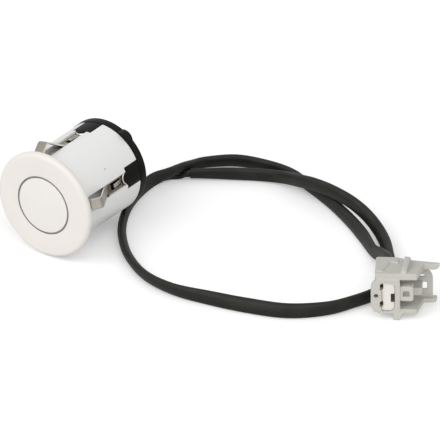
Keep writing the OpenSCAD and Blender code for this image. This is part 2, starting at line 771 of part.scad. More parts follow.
module wire_tail_lower() { wire_tail(-1); }

bezel_sleeve();
decoupling_ring();
transducer_cup();
piezo_disc();
damping_pad();
cup_filling();
contact_pin_left();
contact_pin_right();
sensor_body();
circuit_board();
transformer_core();
transformer_winding();
control_chip();
board_capacitors();
sealing_compound();
cable_grommet();
inner_wire_left();
inner_wire_right();
spring_clip_right();
spring_clip_lower();
spring_clip_left();
spring_clip_upper();
lead_wire_left();
lead_wire_right();
cable_tube();
plug_housing();
terminal_holder();
terminal_upper();
terminal_lower();
wire_seal_upper();
wire_seal_lower();
wire_tail_upper();
wire_tail_lower();
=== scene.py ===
import math

import bpy
from mathutils import Matrix, Vector


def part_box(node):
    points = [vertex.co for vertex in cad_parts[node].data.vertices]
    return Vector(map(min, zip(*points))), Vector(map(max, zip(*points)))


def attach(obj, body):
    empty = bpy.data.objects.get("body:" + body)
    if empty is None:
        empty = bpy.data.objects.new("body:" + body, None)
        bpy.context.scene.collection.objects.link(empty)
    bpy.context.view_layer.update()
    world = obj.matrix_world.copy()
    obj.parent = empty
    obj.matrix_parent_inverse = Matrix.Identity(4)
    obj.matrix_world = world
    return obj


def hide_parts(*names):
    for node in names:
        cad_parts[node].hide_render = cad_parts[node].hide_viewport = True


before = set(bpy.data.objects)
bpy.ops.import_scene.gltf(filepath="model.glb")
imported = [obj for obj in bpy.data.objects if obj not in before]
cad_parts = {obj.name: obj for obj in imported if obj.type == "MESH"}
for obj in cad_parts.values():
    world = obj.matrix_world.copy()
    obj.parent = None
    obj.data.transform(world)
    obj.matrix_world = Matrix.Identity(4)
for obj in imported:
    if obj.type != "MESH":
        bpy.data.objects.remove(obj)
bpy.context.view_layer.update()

# The camera stands where the photograph was taken from, to the right of the sensor's face and
# above it. It is far off with a long lens, so near and far pieces keep almost one scale.
view_turn = math.radians(36.83)
view_rise = math.radians(30.49)
view_point = Vector((0.03589, 0.00963, 0.01139))
view_far = 5.0
view_width = 0.10808
film_width = 36
to_camera = Vector((
    math.sin(view_turn) * math.cos(view_rise),
    -math.cos(view_turn) * math.cos(view_rise),
    math.sin(view_rise)))
bpy.ops.object.select_all(action="DESELECT")
bpy.ops.object.camera_add(
    location=view_point + to_camera * view_far, rotation=(math.pi / 2 - view_rise, 0, view_turn))
camera = bpy.context.object
camera.data.sensor_width = film_width
camera.data.lens = film_width * view_far / view_width
bpy.context.scene.camera = camera
bpy.context.scene.view_settings.view_transform = "Standard"

# The floor is a plain pale sheet that fills the view. What the camera sees of it is lifted to
# white, and the shadow of the object stays on it.
floor_size, floor_drop, floor_lift = 12, 0.00002, 0.3
bpy.ops.mesh.primitive_plane_add(size=floor_size, location=(0, 0, -floor_drop))
floor = bpy.context.object
floor.name = "studio_floor"
paper = bpy.data.materials.new("pale_paper")
paper.use_nodes = True
nodes, links = paper.node_tree.nodes, paper.node_tree.links
sheet = nodes["Principled BSDF"]
sheet.inputs["Base Color"].default_value = (0.86, 0.86, 0.86, 1)
sheet.inputs["Roughness"].default_value = 0.9
sheet.inputs["Specular IOR Level"].default_value = 0.1
sheet.inputs["Emission Color"].default_value = (1, 1, 1, 1)
ray = nodes.new("ShaderNodeLightPath")
lift = nodes.new("ShaderNodeMath")
lift.operation = "MULTIPLY"
lift.inputs[1].default_value = floor_lift
links.new(ray.outputs["Is Camera Ray"], lift.inputs[0])
links.new(lift.outputs["Value"], sheet.inputs["Emission Strength"])
floor.data.materials.append(paper)

# The studio is a bright white room with one large soft lamp in front of the object and above it,
# and a weaker one to the right, so that edges stay clear and nothing is harsh.
world = bpy.data.worlds.new("white_room")
bpy.context.scene.world = world
world.use_nodes = True
nodes, links = world.node_tree.nodes, world.node_tree.links
room = nodes["Background"]
room.inputs["Color"].default_value = (1, 1, 1, 1)
ray = nodes.new("ShaderNodeLightPath")
seen = ray.outputs["Is Camera Ray"]
for kind in ("Is Transmission Ray", "Is Glossy Ray"):
    either = nodes.new("ShaderNodeMath")
    either.operation = "MAXIMUM"
    links.new(seen, either.inputs[0])
    links.new(ray.outputs[kind], either.inputs[1])
    seen = either.outputs["Value"]
room_light, room_seen = 0.6, 1.0
level = nodes.new("ShaderNodeMapRange")
level.inputs["To Min"].default_value = room_light
level.inputs["To Max"].default_value = room_seen
links.new(seen, level.inputs["Value"])
links.new(level.outputs["Result"], room.inputs["Strength"])
for lamp_name, place, size, power in (
        ("key_lamp", (-0.3, -1.08, 1.0), 1.0, 7.4),
        ("side_lamp", (0.736, -0.55, 1.09), 0.8, 4.3)):
    bpy.ops.object.light_add(type="AREA", location=place)
    lamp = bpy.context.object
    lamp.name = lamp_name
    lamp.data.size = size
    lamp.data.energy = power
    lamp.rotation_euler = (view_point - Vector(place)).to_track_quat("-Z", "Y").to_euler()

# Two thin wires in black plastic insulation leave the grommet at the back of the sensor. They drop
# to the floor side by side and run into the open end of the tube, one above the other.
mm = 0.001
wire_d, wire_sides = 0.0013, 16
cord_smooth = math.radians(40)
wire_routes = {
    "lead_wire_left": (
        (-0.75, 15, 14.4), (-0.75, 17.2, 14.4), (-1, 20, 13.2), (-1.4, 22, 10.9), (-1.8, 23.7, 8),
        (-2.1, 25.1, 5.2), (-2.2, 26.1, 2.8), (-1.9, 27.2, 1.3), (-1, 29.4, 0.7), (0.1, 32, 0.7),
        (1.3, 34.6, 0.7), (2.9, 36.1, 0.66), (4.4, 36.5, 0.7), (5.87, 36.63, 1.15), (6.27, 36.93, 1.15),
        (7.87, 38.13, 1.15)),
    "lead_wire_right": (
        (0.75, 15, 14.4), (0.75, 17.2, 14.4), (0.4, 20, 13.2), (0, 22, 10.9), (-0.4, 23.7, 8),
        (-0.7, 25.1, 5.2), (-0.8, 26.1, 2.8), (-0.5, 27.2, 1.3), (0.3, 28.8, 0.7), (1.3, 31.2, 0.7),
        (2.5, 33.4, 0.7), (3.9, 34.7, 0.7), (5.2, 35.1, 1.3), (6.35, 35.97, 2.29), (6.75, 36.27, 2.29),
        (8.35, 37.47, 2.29)),
}


def smooth_route(points, steps):
    """A Catmull-Rom curve through a route's points, each a tuple of numbers in millimetres."""
    points = [Vector(p) for p in points]
    line = []
    for i in range(len(points) - 1):
        a, b = points[max(i - 1, 0)], points[i]
        c, d = points[i + 1], points[min(i + 2, len(points) - 1)]
        for s in range(steps):
            t = s / steps
            line.append(0.5 * (2 * b + (c - a) * t + (2 * a - 5 * b + 4 * c - d) * t * t
                               + (3 * b - a - 3 * c + d) * t * t * t))
    return line + [points[-1]]


def choose(*pieces):
    """Selects these pieces and no others, and makes the first of them the active one."""
    bpy.ops.object.select_all(action="DESELECT")
    for piece in pieces:
        piece.select_set(True)
    bpy.context.view_layer.objects.active = pieces[0]


def swept_cord(name, line, section, sides):
    """A mesh tube along a line in metres; section gives its half axes and its lean at each ring."""
    verts, faces, where = [], [], []
    count, run = len(line), 0.0
    for i, centre in enumerate(line):
        ahead = (line[min(i + 1, count - 1)] - line[max(i - 1, 0)]).normalized()
        side = ahead.cross(Vector((0, 0, 1))).normalized()
        top = side.cross(ahead)
        half_wide, half_tall, lean = section(i)
        long_axis = top * math.cos(lean) + side * math.sin(lean)
        short_axis = side * math.cos(lean) - top * math.sin(lean)
        run += (centre - line[max(i - 1, 0)]).length
        for k in range(sides):
            turn = 2 * math.pi * k / sides
            verts.append(
                centre + short_axis * half_wide * math.cos(turn)
                + long_axis * half_tall * math.sin(turn))
        where.append(run)
    for i in range(count - 1):
        for k in range(sides):
            a, b = i * sides + k, i * sides + (k + 1) % sides
            faces.append((a, b, b + sides, a + sides))
    mesh = bpy.data.meshes.new(name)
    mesh.from_pydata(verts, [], faces)
    along = mesh.uv_layers.new(name="along_cord")
    uv_per_metre = 100
    for face in mesh.polygons:
        at_seam = any(mesh.loops[c].vertex_index % sides == sides - 1 for c in face.loop_indices)
        for corner in face.loop_indices:
            ring, k = divmod(mesh.loops[corner].vertex_index, sides)
            wrapped = 1.0 if k == 0 and at_seam else k / sides
            along.data[corner].uv = (where[ring] * uv_per_metre, wrapped)
    piece = bpy.data.objects.new(name, mesh)
    bpy.context.collection.objects.link(piece)
    choose(piece)
    bpy.ops.object.mode_set(mode="EDIT")
    bpy.ops.mesh.select_mode(type="EDGE")
    bpy.ops.mesh.select_all(action="DESELECT")
    bpy.ops.mesh.select_non_manifold()
    bpy.ops.mesh.edge_face_add()
    bpy.ops.mesh.select_all(action="SELECT")
    bpy.ops.mesh.normals_make_consistent(inside=False)
    bpy.ops.object.mode_set(mode="OBJECT")
    bpy.ops.object.shade_smooth_by_angle(angle=cord_smooth)
    return piece


surface_grain = bpy.data.node_groups.new("surface_grain", "ShaderNodeTree")
surface_grain.interface.new_socket(name="Place", in_out="INPUT", socket_type="NodeSocketVector")
for socket in ("Grain", "Mottle"):
    surface_grain.interface.new_socket(
        name=socket + " Scale", in_out="INPUT", socket_type="NodeSocketFloat")
    surface_grain.interface.new_socket(name=socket, in_out="OUTPUT", socket_type="NodeSocketFloat")
nodes, links = surface_grain.nodes, surface_grain.links
given, found = nodes.new("NodeGroupInput"), nodes.new("NodeGroupOutput")
for socket, detail in (("Grain", 2.0), ("Mottle", 4.0)):
    speckle = nodes.new("ShaderNodeTexNoise")
    speckle.inputs["Detail"].default_value = detail
    links.new(given.outputs["Place"], speckle.inputs["Vector"])
    links.new(given.outputs[socket + " Scale"], speckle.inputs["Scale"])
    links.new(speckle.outputs[0], found.inputs[socket])


def grained(name, tone, mottle, roughness, gloss, grain, broad, relief):
    """A finish of one tone, mottled broadly with a second, with a fine grain and uneven gloss."""
    uneven_by, relief_strength = 0.08, 0.5
    material = bpy.data.materials.new(name)
    material.use_nodes = True
    nodes, links = material.node_tree.nodes, material.node_tree.links
    shader = nodes["Principled BSDF"]
    shader.inputs["Specular IOR Level"].default_value = gloss
    place = nodes.new("ShaderNodeTexCoord")
    place.name = "place"
    surface = nodes.new("ShaderNodeGroup")
    surface.name = "surface"
    surface.node_tree = surface_grain
    surface.inputs["Grain Scale"].default_value = grain
    surface.inputs["Mottle Scale"].default_value = broad
    links.new(place.outputs["Object"], surface.inputs["Place"])
    tones = nodes.new("ShaderNodeValToRGB")
    tones.name = "tones"
    for stop, at, colour in zip(tones.color_ramp.elements, (0.38, 0.72), (tone, mottle)):
        stop.position, stop.color = at, (*colour, 1)
    links.new(surface.outputs["Mottle"], tones.inputs["Fac"])
    links.new(tones.outputs["Color"], shader.inputs["Base Color"])
    uneven = nodes.new("ShaderNodeMapRange")
    uneven.inputs["To Min"].default_value = roughness - uneven_by
    uneven.inputs["To Max"].default_value = roughness + uneven_by
    links.new(surface.outputs["Grain"], uneven.inputs["Value"])
    links.new(uneven.outputs["Result"], shader.inputs["Roughness"])
    bump = nodes.new("ShaderNodeBump")
    bump.name = "relief"
    bump.inputs["Strength"].default_value = relief_strength
    bump.inputs["Distance"].default_value = relief
    links.new(surface.outputs["Grain"], bump.inputs["Height"])
    links.new(bump.outputs["Normal"], shader.inputs["Normal"])
    return material


insulation = grained(
    "black_insulation", tone=(0.011, 0.011, 0.01), mottle=(0.02, 0.02, 0.019), roughness=0.36,
    gloss=0.3, grain=3000, broad=300, relief=0.00001)
for name, route in wire_routes.items():
    line = [p * mm for p in smooth_route(route, steps=5)]
    wire = swept_cord(name + "_insulated", line, lambda i: (wire_d / 2, wire_d / 2, 0), wire_sides)
    wire.data.materials.append(insulation)
    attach(wire, "root")
    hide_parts(name)

# A soft extruded tube, oval in section, sleeves both wires. It starts with an open mouth near the
# sensor, lies on edge in one loop on the floor, passes once over itself and rises to the plug.
# Each point of its route has x, y and z in millimetres, and how far the oval leans, in degrees.
tube_tall, tube_wide, tube_wall = 0.0038, 0.0022, 0.00028
tube_sides, mouth_deep = 24, 0.0024
tube_route = (
    (6.5, 36.6, 1.72, 36), (8.9, 38.4, 1.72, 34), (14.5, 42.1, 1.9, 16), (21.2, 46.2, 1.92, 13),
    (27.4, 47.6, 2.7, 13), (33.7, 45.9, 4.7, 10), (38.6, 45.1, 5.8, 5), (44.1, 44.9, 5.9, 5),
    (50.6, 44.1, 5.4, -3), (56.2, 43, 4.1, -10), (61.2, 41, 2.6, -18), (65.8, 37.7, 1.9, -24),
    (70.1, 33.2, 1.85, -26), (74.2, 28.9, 1.9, -15), (77, 24.8, 1.9, -5), (78.4, 20.6, 1.9, 0),
    (77.9, 16.4, 1.9, -5), (76.1, 11, 1.9, -10), (72.7, 4.1, 1.9, 0), (65.7, -2.5, 1.88, 18),
    (56.4, -6.3, 1.86, 24), (46.7, -9.1, 1.92, 6), (37, -11, 1.88, -18), (27.4, -9.7, 1.82, -28),
    (18.5, -4.7, 1.84, -25), (11.5, 2, 1.9, -5), (7.1, 8.3, 1.9, 12), (4.2, 14.3, 1.9, 15),
    (2.5, 20.2, 2.1, 10), (2.1, 26.4, 2.8, -3), (3.7, 31.2, 3.3, 26), (4.6, 35.3, 3.25, 36),
    (5, 38.1, 2.75, 36), (6.6, 43.2, 1.92, 24), (12.2, 48.4, 1.88, 16), (19.9, 50.8, 1.88, 17),
    (27.6, 50.9, 1.9, 10), (35.3, 48.5, 1.9, 15), (43.5, 45.6, 1.9, 2), (51.5, 41.9, 1.9, -10),
    (59, 37.6, 1.9, -17), (65.6, 32.9, 2.2, 0), (70.6, 29.6, 4.3, 5), (75.2, 25.9, 6.4, 0),
    (77.4, 22.6, 6.4, 0),
)
tube_line = smooth_route(tube_route, steps=6)
tube_path = [Vector(p[:3]) * mm for p in tube_line]


def tube_section(i):
    """The tube's half axes and its lean at one ring of its line."""
    return tube_wide / 2, tube_tall / 2, math.radians(tube_line[i][3])


def pick(piece, kind, test):
    """Goes into edit mode on one piece with only the faces or edges selected that pass the test."""
    choose(piece)
    bpy.ops.object.mode_set(mode="EDIT")
    bpy.ops.mesh.select_mode(type=kind)
    bpy.ops.mesh.select_all(action="DESELECT")
    bpy.ops.object.mode_set(mode="OBJECT")
    for part in piece.data.polygons if kind == "FACE" else piece.data.edges:
        part.select = test(part)
    bpy.ops.object.mode_set(mode="EDIT")


tube = swept_cord("oval_tube", tube_path, tube_section, tube_sides)
pick(tube, "FACE", lambda f: len(f.vertices) == tube_sides and (f.center - tube_path[0]).length < mm)
bpy.ops.mesh.inset(thickness=tube_wall)
bpy.ops.mesh.extrude_region_move(
    TRANSFORM_OT_translate={"value": (tube_path[1] - tube_path[0]).normalized() * mouth_deep})
bpy.ops.object.mode_set(mode="OBJECT")
bpy.ops.object.shade_smooth_by_angle(angle=cord_smooth)
soft_tube = grained(
    "soft_black_tube", tone=(0.0135, 0.0135, 0.011), mottle=(0.022, 0.022, 0.0185), roughness=0.46,
    gloss=0.22, grain=2600, broad=220, relief=0.000012)
nodes, links = soft_tube.node_tree.nodes, soft_tube.node_tree.links
stretched = nodes.new("ShaderNodeMapping")
stretched.inputs["Scale"].default_value = (0.8, 7.0, 1.0)
streak = nodes.new("ShaderNodeTexNoise")
streak.inputs["Scale"].default_value = 1.6
streak.inputs["Detail"].default_value = 3.0
crease = nodes.new("ShaderNodeBump")
crease.inputs["Strength"].default_value = 0.35
crease.inputs["Distance"].default_value = 0.0003
links.new(nodes["place"].outputs["UV"], stretched.inputs["Vector"])
links.new(stretched.outputs["Vector"], streak.inputs["Vector"])
links.new(streak.outputs[0], crease.inputs["Height"])
links.new(nodes["relief"].outputs["Normal"], crease.inputs["Normal"])
links.new(crease.outputs["Normal"], nodes["Principled BSDF"].inputs["Normal"])
tube.data.materials.append(soft_tube)
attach(tube, "root")
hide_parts("cable_tube")

# The bezel is the sensor's white shell, one satin plastic moulding: a flange with a round rim, the
# wall round the membrane, and the sleeve behind it. Four slots for the spring clips run its length.
bezel_low, bezel_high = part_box("bezel_sleeve")
face_y = bezel_low[1]
axis_z = (bezel_low[2] + bezel_high[2]) / 2
slot_turns = [math.radians(-13.5 + 90 * k) for k in range(4)]
slot_wide, slot_end_wide = 3.3, 5.6
edge_smooth = math.radians(32)
bezel_outline = (
    (7.8, 0, 0.2), (14, 0, 1.15), (14, 2.3, 1.15), (11.8, 2.3, 0.25), (11.8, 24.3, 0.2),
    (10.4, 24.3, 0.1), (10.4, 11.9, 0), (9.7, 11.7, 0), (9.7, 3.2, 0.2), (7.8, 3.2, 0.1))


def on_sensor(radius, station, turn=0.0):
    """A point of the sensor, from its distance to the axis and to the face in millimetres."""
    return Vector((
        radius * math.cos(turn) * mm, face_y + station * mm, axis_z - radius * math.sin(turn) * mm))


def softened(outline):
    """A closed outline of radius, station and rounding at each corner, as points with arcs."""
    points = []
    for i, (radius, station, rounding) in enumerate(outline):
        corner = Vector((radius, station))
        if rounding == 0:
            points.append(corner)
            continue
        before = (Vector(outline[i - 1][:2]) - corner).normalized()
        after = (Vector(outline[(i + 1) % len(outline)][:2]) - corner).normalized()
        half = before.angle(after) / 2
        centre = corner + (before + after).normalized() * (rounding / math.sin(half))
        start = corner + before * (rounding / math.tan(half)) - centre
        end = corner + after * (rounding / math.tan(half)) - centre
        steps = 8 if rounding > 0.5 else 4
        for k in range(steps + 1):
            points.append(centre + Matrix.Rotation(-start.angle_signed(end) * k / steps, 2) @ start)
    return points


def drawn(name, points):
    """Starts a piece as one corner, draws it on from point to point, and stays in edit mode."""
    bpy.ops.object.select_all(action="DESELECT")
    bpy.ops.mesh.primitive_plane_add(size=0.0001, location=points[0])
    piece = bpy.context.object
    piece.name = name
    bpy.ops.object.transform_apply(location=True, rotation=True, scale=True)
    bpy.ops.object.mode_set(mode="EDIT")
    bpy.ops.mesh.select_mode(type="VERT")
    bpy.ops.mesh.select_all(action="SELECT")
    bpy.ops.mesh.merge(type="CENTER")
    for here, there in zip(points, points[1:]):
        bpy.ops.mesh.extrude_region_move(TRANSFORM_OT_translate={"value": there - here})
    bpy.ops.mesh.select_all(action="SELECT")
    return piece


def turned(name, outline, steps=96):
    """A ring or disc: its outline is drawn point by point and spun about the sensor's axis."""
    points = [on_sensor(p.x, p.y) for p in softened(outline)]
    piece = drawn(name, points + points[:1])
    bpy.ops.mesh.remove_doubles(threshold=1e-7)
    bpy.ops.mesh.select_all(action="SELECT")
    bpy.ops.mesh.spin(steps=steps, angle=2 * math.pi, center=on_sensor(0, 0), axis=(0, 1, 0))
    bpy.ops.mesh.select_all(action="SELECT")
    bpy.ops.mesh.remove_doubles(threshold=2e-6)
    bpy.ops.mesh.normals_make_consistent(inside=False)
    bpy.ops.object.mode_set(mode="OBJECT")
    bpy.ops.object.shade_smooth_by_angle(angle=edge_smooth)
    return piece


def slot_blocks(r_in, r_out, wide, start, end):
    """Four equal blocks, one in each slot: from one radius to another, and between two stations."""
    bpy.ops.object.select_all(action="DESELECT")
    blocks = []
    for turn in slot_turns:
        bpy.ops.mesh.primitive_cube_add(
            size=mm, location=on_sensor((r_in + r_out) / 2, (start + end) / 2, turn),
            rotation=(0, turn, 0), scale=(r_out - r_in, end - start, wide))
        blocks.append(bpy.context.object)
    for one in blocks:
        one.select_set(True)
    bpy.ops.object.transform_apply(location=True, rotation=True, scale=True)
    bpy.ops.object.join()
    return bpy.context.object


def combine(piece, other, operation):
    """Cuts, joins or crosses a piece with another one, which is used up."""
    change = piece.modifiers.new(operation.lower(), "BOOLEAN")
    change.operation = operation
    change.solver = "EXACT"
    change.object = other
    choose(piece)
    bpy.ops.object.modifier_apply(modifier=change.name)
    bpy.data.objects.remove(other)


def eased(piece, width, segments=2, angle=40):
    """Takes the sharpness off a piece's hard edges, and smooths the rest."""
    choose(piece)
    edge = piece.modifiers.new("eased_edges", "BEVEL")
    edge.width = width
    edge.segments = segments
    edge.limit_method = "ANGLE"
    edge.angle_limit = math.radians(angle)
    edge.use_clamp_overlap = False
    bpy.ops.object.modifier_apply(modifier=edge.name)
    bpy.ops.object.shade_smooth_by_angle(angle=edge_smooth)


def ranged(material, value, start, end, low=0.0, high=1.0):
    """A share that goes from low to high while a value of the surface goes from start to end."""
    share = material.node_tree.nodes.new("ShaderNodeMapRange")
    for socket, number in (("From Min", start), ("From Max", end), ("To Min", low), ("To Max", high)):
        share.inputs[socket].default_value = number
    material.node_tree.links.new(value, share.inputs["Value"])
    return share.outputs["Result"]


def product(material, one, other):
    """The share where two shares hold together."""
    both = material.node_tree.nodes.new("ShaderNodeMath")
    both.operation = "MULTIPLY"
    material.node_tree.links.new(one, both.inputs[0])
    material.node_tree.links.new(other, both.inputs[1])
    return both.outputs["Value"]


def overlaid(material, share, colour):
    """Lays a colour over what the material shows so far, by a share."""
    nodes, links = material.node_tree.nodes, material.node_tree.links
    shown = nodes["Principled BSDF"].inputs["Base Color"]
    cover = nodes.new("ShaderNodeMixRGB")
    cover.inputs["Color2"].default_value = (*colour, 1)
    links.new(share, cover.inputs["Fac"])
    links.new(shown.links[0].from_socket, cover.inputs["Color1"])
    links.new(cover.outputs["Color"], shown)


def reckoned(material, value, operation, other=None):
    """A vector of the surface put through one step of reckoning with another, fixed one."""
    step = material.node_tree.nodes.new("ShaderNodeVectorMath")
    step.operation = operation
    if other is not None:
        step.inputs[1].default_value = other
    material.node_tree.links.new(value, step.inputs[0])
    return step.outputs["Vector" if operation in ("SUBTRACT", "MULTIPLY") else "Value"]


def place_on(material):
    """The place on the surface: as one vector, as x, y and z, and as the distance to the axis."""
    place = material.node_tree.nodes["place"].outputs["Object"]
    parts = material.node_tree.nodes.new("ShaderNodeSeparateXYZ")
    material.node_tree.links.new(place, parts.inputs["Vector"])
    from_axis = reckoned(material, place, "SUBTRACT", on_sensor(0, 0))
    crosswise = reckoned(material, from_axis, "MULTIPLY", (1, 0, 1))
    return place, parts.outputs, reckoned(material, crosswise, "LENGTH")


bezel = turned("white_bezel", bezel_outline, steps=128)
for r_in, r_out, wide, start, end in (
        (10.35, 13, slot_wide, 2.3, 12.5), (9.6, 13, slot_wide, 11.8, 25),
        (9.6, 13, slot_end_wide, 19.2, 25), (11.2, 15, slot_wide, 1.9, 3)):
    combine(bezel, slot_blocks(r_in, r_out, wide, start, end), "DIFFERENCE")
eased(bezel, width=0.00013)
white_satin = grained(
    "white_satin_plastic", tone=(0.855, 0.815, 0.77), mottle=(0.835, 0.796, 0.75), roughness=0.42,
    gloss=0.45, grain=4500, broad=160, relief=0.000006)
place, parts, radius = place_on(white_satin)
behind = ranged(white_satin, parts["Y"], start=face_y + 0.0019, end=face_y + 0.003, high=0.9)
cool_sleeve, slot_shade, nick_grey = (0.88, 0.88, 0.87), (0.36, 0.37, 0.38), (0.3, 0.3, 0.28)
overlaid(white_satin, behind, cool_sleeve)
# Painted shade: the slot floors under the clips are coloured grey, where the clips shade them.
slot_floor_shade = ranged(white_satin, radius, start=0.0104, end=0.0117, low=0.75, high=0.0)
overlaid(white_satin, product(white_satin, slot_floor_shade, behind), slot_shade)
nick_place = on_sensor(11.8, 13.2, math.radians(-39.2))
from_nick = reckoned(white_satin, place, "DISTANCE", nick_place)
nick = ranged(white_satin, from_nick, start=0.00018, end=0.00034, low=0.6, high=0.0)
overlaid(white_satin, nick, nick_grey)
bezel.data.materials.append(white_satin)
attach(bezel, "root")
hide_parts("bezel_sleeve")

# The transducer cup is a drawn aluminium cup with a white painted front, which is the membrane in
# the middle of the face. It is pushed in from the front and lies flush with the flange.
cup = turned("membrane_cup", (
    (0, 0, 0), (7.35, 0, 0.2), (7.35, 9, 0.1), (6.15, 9, 0.1), (6.15, 0.7, 0.3), (0, 0.7, 0)))
cup.data.materials.append(grained(
    "white_paint", tone=(0.86, 0.827, 0.785), mottle=(0.845, 0.812, 0.768), roughness=0.45,
    gloss=0.4, grain=3800, broad=220, relief=0.000008))
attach(cup, "root")
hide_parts("transducer_cup")

# The decoupling ring is a soft grey silicone moulding that holds the cup clear of the shell. Only
# its thin front edge shows, as a line round the membrane, where it swells up almost to the face.
soft_joint = turned("soft_joint", (
    (7.35, 0.12, 0.05), (7.8, 0.12, 0.05), (7.8, 3.2, 0), (9.55, 3.2, 0), (9.55, 4.8, 0), (8.2, 4.8, 0),
    (8.2, 9.6, 0.1), (6.3, 9.6, 0.1), (6.3, 9, 0), (7.35, 9, 0)))
soft_joint.data.materials.append(grained(
    "grey_silicone", tone=(0.21, 0.21, 0.198), mottle=(0.17, 0.17, 0.162), roughness=0.6,
    gloss=0.3, grain=3500, broad=260, relief=0.00001))
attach(soft_joint, "root")
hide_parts("decoupling_ring")

# Inside the cup a fired piezo disc with a thin silver face is glued to the back of the membrane. A
# foam pad lies on it, and cast silicone fills the cup.


def dress(material, *names):
    """Gives CAD nodes, whose shape is right, their finish."""
    for name in names:
        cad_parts[name].material_slots[0].material = material


dress(grained(
    "fired_ceramic", tone=(0.5, 0.44, 0.33), mottle=(0.58, 0.54, 0.47), roughness=0.5,
    gloss=0.4, grain=5200, broad=700, relief=0.00001), "piezo_disc")
dress(grained(
    "tan_foam", tone=(0.64, 0.56, 0.42), mottle=(0.5, 0.43, 0.31), roughness=0.85,
    gloss=0.1, grain=2200, broad=900, relief=0.0002), "damping_pad")
dress(grained(
    "cast_silicone", tone=(0.5, 0.5, 0.48), mottle=(0.56, 0.56, 0.54), roughness=0.4,
    gloss=0.4, grain=900, broad=180, relief=0.00003), "cup_filling")

# The circuit board stands behind the cup, on two plated pins. It carries a small transformer, a
# control chip and four ceramic capacitors, all soldered to its rear side.
brushed_lines = bpy.data.node_groups.new("brushed_lines", "ShaderNodeTree")
brushed_lines.interface.new_socket(name="Place", in_out="INPUT", socket_type="NodeSocketVector")
brushed_lines.interface.new_socket(name="Fineness", in_out="INPUT", socket_type="NodeSocketFloat")
brushed_lines.interface.new_socket(name="Lines", in_out="OUTPUT", socket_type="NodeSocketFloat")
nodes, links = brushed_lines.nodes, brushed_lines.links
given, found = nodes.new("NodeGroupInput"), nodes.new("NodeGroupOutput")
stretch = nodes.new("ShaderNodeVectorMath")
stretch.operation = "MULTIPLY"
stretch.inputs[1].default_value = (1.0, 0.04, 1.0)
streak = nodes.new("ShaderNodeTexNoise")
streak.inputs["Detail"].default_value = 3.0
links.new(given.outputs["Place"], stretch.inputs[0])
links.new(stretch.outputs["Vector"], streak.inputs["Vector"])
links.new(given.outputs["Fineness"], streak.inputs["Scale"])
links.new(streak.outputs[0], found.inputs["Lines"])


def metal(name, bright, dull, roughness, fineness):
    """Rolled or drawn metal with fine lines along it, and duller patches."""
    material = grained(name, bright, dull, roughness, gloss=0.5, grain=4000, broad=350, relief=0.000004)
    nodes, links = material.node_tree.nodes, material.node_tree.links
    nodes["Principled BSDF"].inputs["Metallic"].default_value = 1.0
    rolled = nodes.new("ShaderNodeGroup")
    rolled.node_tree = brushed_lines
    rolled.inputs["Fineness"].default_value = fineness
    links.new(nodes["place"].outputs["Object"], rolled.inputs["Place"])
    links.new(rolled.outputs["Lines"], nodes["relief"].inputs["Height"])
    return material


plated = metal(
    "plated_bronze", bright=(0.66, 0.54, 0.32), dull=(0.5, 0.38, 0.2), roughness=0.3, fineness=5000)
dress(plated, "contact_pin_left", "contact_pin_right")
dress(grained(
    "green_solder_mask", tone=(0.03, 0.2, 0.1), mottle=(0.05, 0.26, 0.14), roughness=0.35,
    gloss=0.5, grain=2400, broad=500, relief=0.00002), "circuit_board")
dress(grained(
    "dull_ferrite", tone=(0.06, 0.06, 0.06), mottle=(0.1, 0.095, 0.09), roughness=0.7,
    gloss=0.3, grain=3200, broad=900, relief=0.00003), "transformer_core")
dress(metal(
    "enamelled_copper", bright=(0.55, 0.24, 0.1), dull=(0.42, 0.16, 0.06), roughness=0.32,
    fineness=6500), "transformer_winding")
dress(grained(
    "chip_resin", tone=(0.015, 0.015, 0.016), mottle=(0.03, 0.03, 0.03), roughness=0.55,
    gloss=0.3, grain=5200, broad=800, relief=0.00002), "control_chip")
dress(grained(
    "capacitor_ceramic", tone=(0.42, 0.33, 0.22), mottle=(0.5, 0.41, 0.29), roughness=0.55,
    gloss=0.4, grain=4000, broad=900, relief=0.00001), "board_capacitors")

# The body is one black plastic moulding inside the sleeve. Its rear ring with the key rib closes
# the sleeve, its four tongues fill the slots' wide ends, and its stakes hold the spring clips.
body = turned("black_body", (
    (9.6, 4.8, 0.15), (9.6, 11.75, 0), (10.3, 11.95, 0), (10.3, 24.3, 0), (11.9, 24.3, 0.15),
    (11.9, 26.6, 0.3), (9, 26.6, 0.3), (9, 10.4, 0), (8.2, 10.4, 0), (8.2, 4.8, 0.1)))
stake_station, pad_ease = 19.8, 0.0001
tongues = turned("tongues", ((9.6, 19.2, 0), (11.75, 19.2, 0.15), (11.75, 25, 0), (9.6, 25, 0)))
combine(tongues, slot_blocks(r_in=9, r_out=13, wide=5.4, start=19, end=26), "INTERSECT")
combine(tongues, slot_blocks(r_in=10.55, r_out=11.15, wide=3.1, start=18, end=21.3), "DIFFERENCE")
eased(tongues, pad_ease)
front_pads = slot_blocks(r_in=9.8, r_out=10.64, wide=2.9, start=12, end=13.3)
eased(front_pads, pad_ease)
rear_pads = slot_blocks(r_in=9.8, r_out=10.64, wide=2.9, start=17.7, end=21.2)
eased(rear_pads, pad_ease)


def stud(radius, depth, place, lie, sides, at_end, rounding, segments):
    """A short round stud with one end rounded over; at_end tells which corners are on that end."""
    bpy.ops.object.select_all(action="DESELECT")
    bpy.ops.mesh.primitive_cylinder_add(
        vertices=sides, radius=radius, depth=depth, location=place, rotation=lie)
    bpy.ops.object.transform_apply(location=True, rotation=True, scale=True)
    piece = bpy.context.object
    pick(piece, "EDGE", lambda e: all(at_end(piece.data.vertices[v].co) for v in e.vertices))
    bpy.ops.mesh.bevel(offset=rounding, segments=segments)
    bpy.ops.object.mode_set(mode="OBJECT")
    bpy.ops.object.shade_smooth_by_angle(angle=edge_smooth)
    return piece


